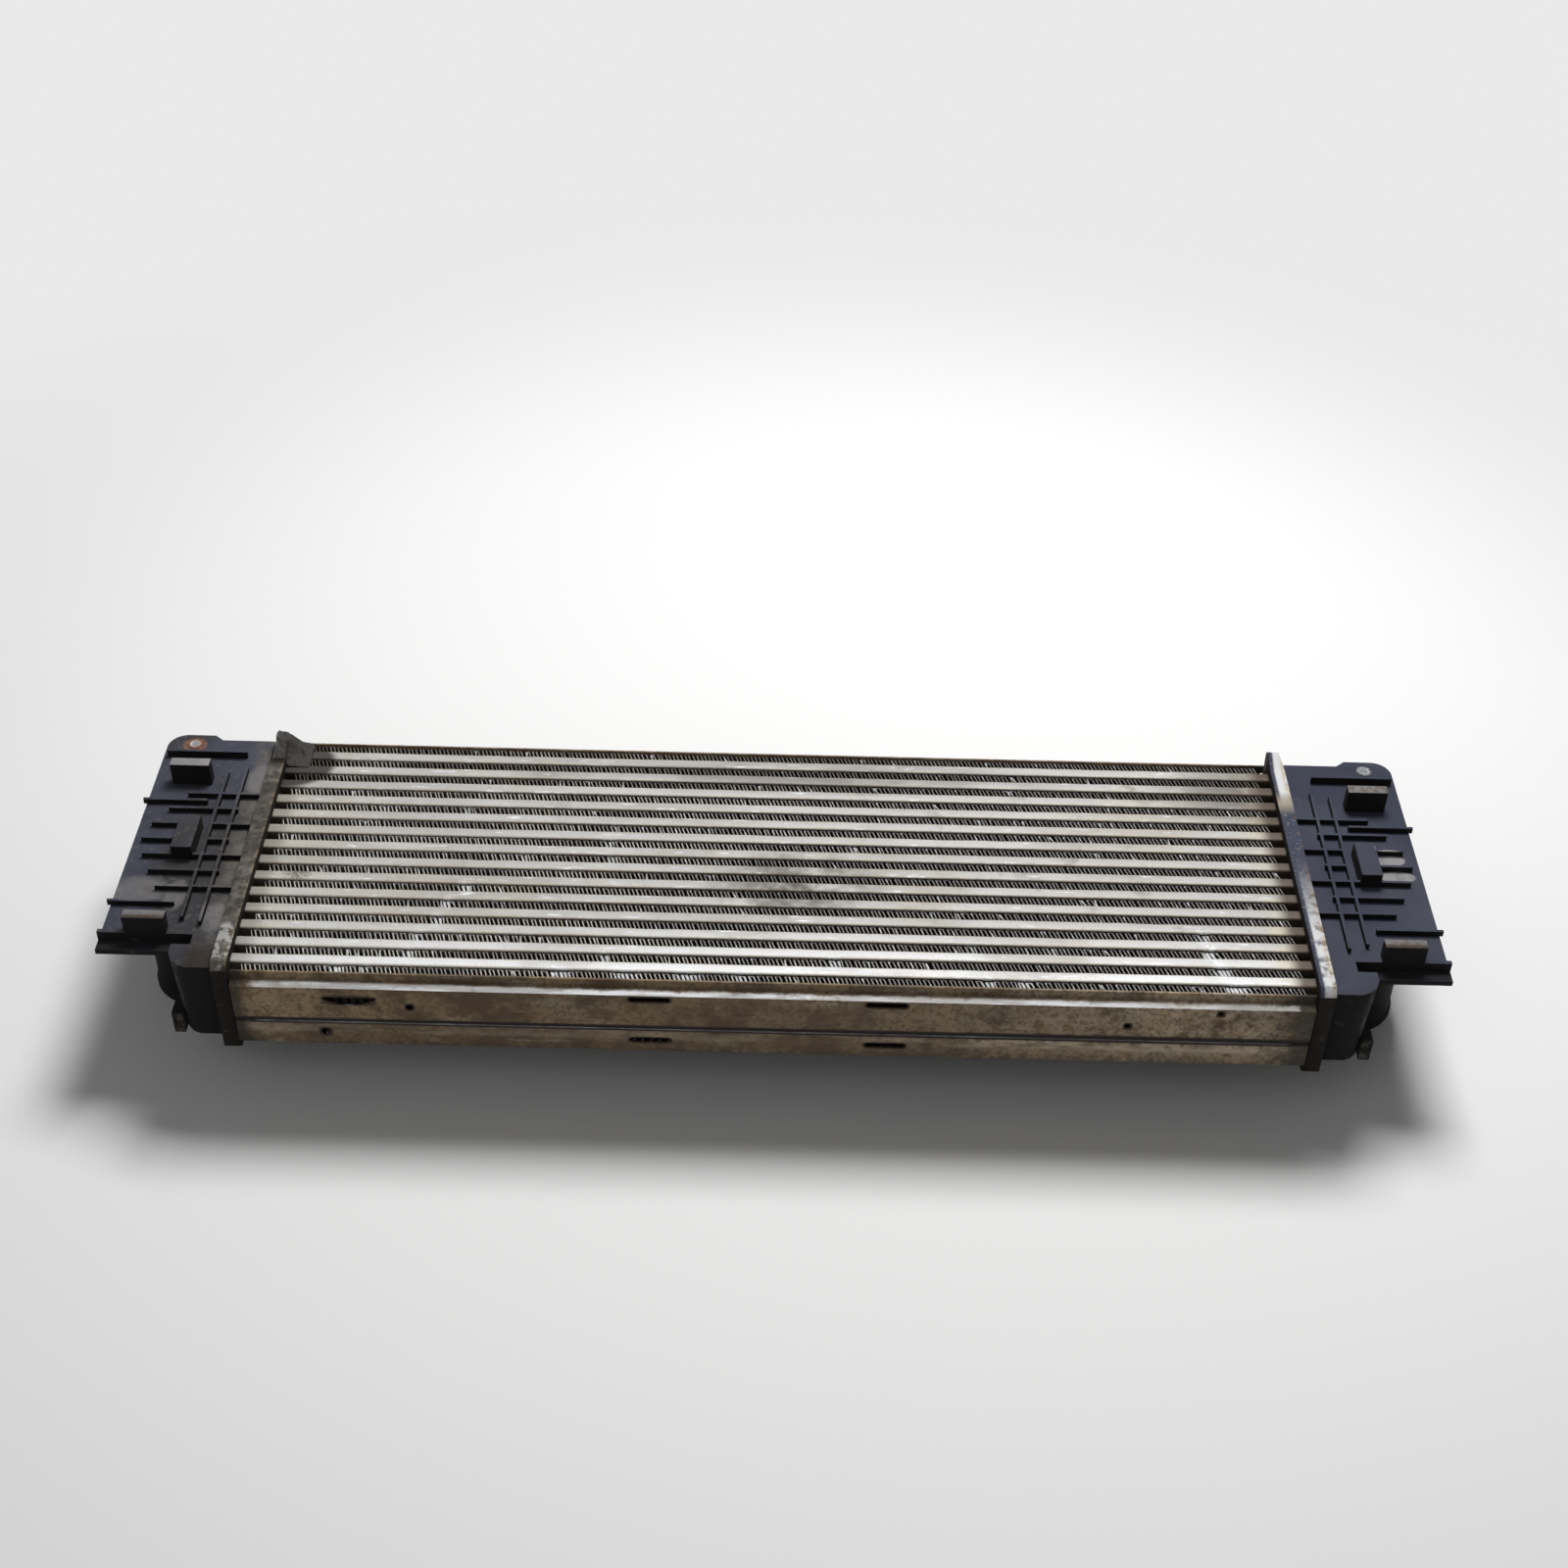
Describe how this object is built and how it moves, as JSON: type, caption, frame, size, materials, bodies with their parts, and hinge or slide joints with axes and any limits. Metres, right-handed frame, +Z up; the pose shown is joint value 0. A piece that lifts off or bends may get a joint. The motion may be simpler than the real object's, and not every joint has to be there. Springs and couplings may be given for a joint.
{
  "type": "intercooler",
  "caption": "Charge-air cooler with a flat-tube aluminium core, crimped header plates, moulded end tanks with ribbed wing plates, and two hose necks underneath.",
  "frame": {"origin": "middle of the footprint, on the plane of the two hose neck ends, on which the cooler stands", "axes": "+X along the tubes to the right, +Y across the tube rows to the ear side, +Z up towards the face with the wing plates"},
  "size_m": [0.854, 0.2384, 0.125],
  "materials": {
    "tube_aluminium": "weathered bare aluminium",
    "fin_aluminium": "dull dirty aluminium",
    "header_aluminium": "stained aluminium",
    "side_aluminium": "weathered brown-grey aluminium",
    "tank_plastic": "dusty black glass-filled plastic",
    "seal_rubber": "matte rubber",
    "bush_steel": "rusted steel"
  },
  "bodies": {
    "root": {"tube_01": "tube_aluminium", "tube_02": "tube_aluminium", "tube_03": "tube_aluminium", "tube_04": "tube_aluminium", "tube_05": "tube_aluminium", "tube_06": "tube_aluminium", "tube_07": "tube_aluminium", "tube_08": "tube_aluminium", "tube_09": "tube_aluminium", "tube_10": "tube_aluminium", "tube_11": "tube_aluminium", "tube_12": "tube_aluminium", "tube_13": "tube_aluminium", "tube_14": "tube_aluminium", "fin_01": "fin_aluminium", "fin_02": "fin_aluminium", "fin_03": "fin_aluminium", "fin_04": "fin_aluminium", "fin_05": "fin_aluminium", "fin_06": "fin_aluminium", "fin_07": "fin_aluminium", "fin_08": "fin_aluminium", "fin_09": "fin_aluminium", "fin_10": "fin_aluminium", "fin_11": "fin_aluminium", "fin_12": "fin_aluminium", "fin_13": "fin_aluminium", "fin_14": "fin_aluminium", "fin_15": "fin_aluminium", "header_plate_left": "header_aluminium", "tank_gasket_left": "seal_rubber", "end_tank_left": "tank_plastic", "header_plate_right": "header_aluminium", "tank_gasket_right": "seal_rubber", "end_tank_right": "tank_plastic", "ear_bushes": "bush_steel", "corner_sealer": "seal_rubber", "side_plate_near": "side_aluminium", "side_plate_far": "side_aluminium"}
  },
  "joints": []
}
